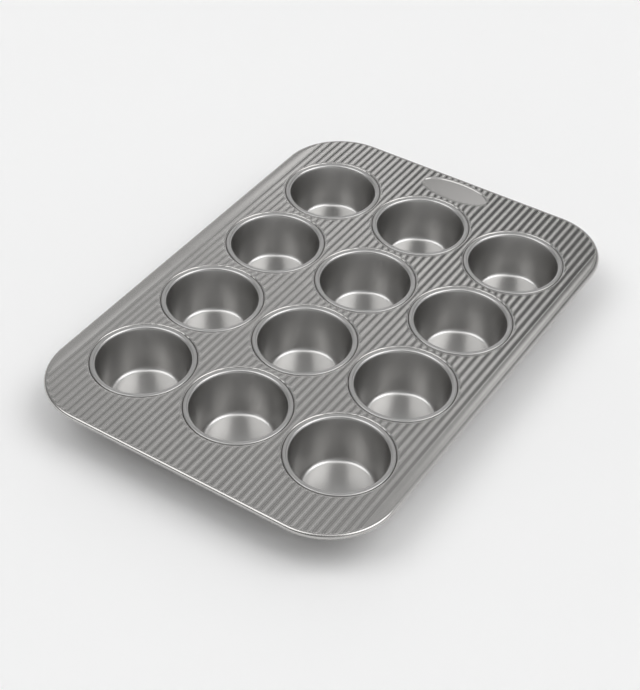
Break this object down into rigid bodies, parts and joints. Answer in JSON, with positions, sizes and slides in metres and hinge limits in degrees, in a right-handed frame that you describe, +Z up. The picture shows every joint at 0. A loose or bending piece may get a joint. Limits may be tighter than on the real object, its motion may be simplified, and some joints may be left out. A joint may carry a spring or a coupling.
{
  "type": "muffin pan",
  "caption": "Rectangular baking pan with rounded corners, a ribbed sheet-metal deck, a rolled wired rim and rows of round flat-floored tapered cups for muffins.",
  "frame": {"origin": "centre of the pan in plan, on the plane of the cup floors that it stands on", "axes": "+Z up out of the cups, +Y along the long side with four cups, +X across the short side with three cups"},
  "size_m": [0.2836, 0.4016, 0.035],
  "materials": {
    "sheet": "satin, clear-coated aluminised steel with pressed ribs",
    "cup": "smooth satin, clear-coated aluminised steel",
    "wire": "plain drawn steel, hidden inside the rim"
  },
  "bodies": {
    "root": {"frame_sheet": "sheet", "rim_wire": "wire", "cup_01": "cup", "cup_02": "cup", "cup_03": "cup", "cup_04": "cup", "cup_05": "cup", "cup_06": "cup", "cup_07": "cup", "cup_08": "cup", "cup_09": "cup", "cup_10": "cup", "cup_11": "cup", "cup_12": "cup"}
  },
  "joints": []
}
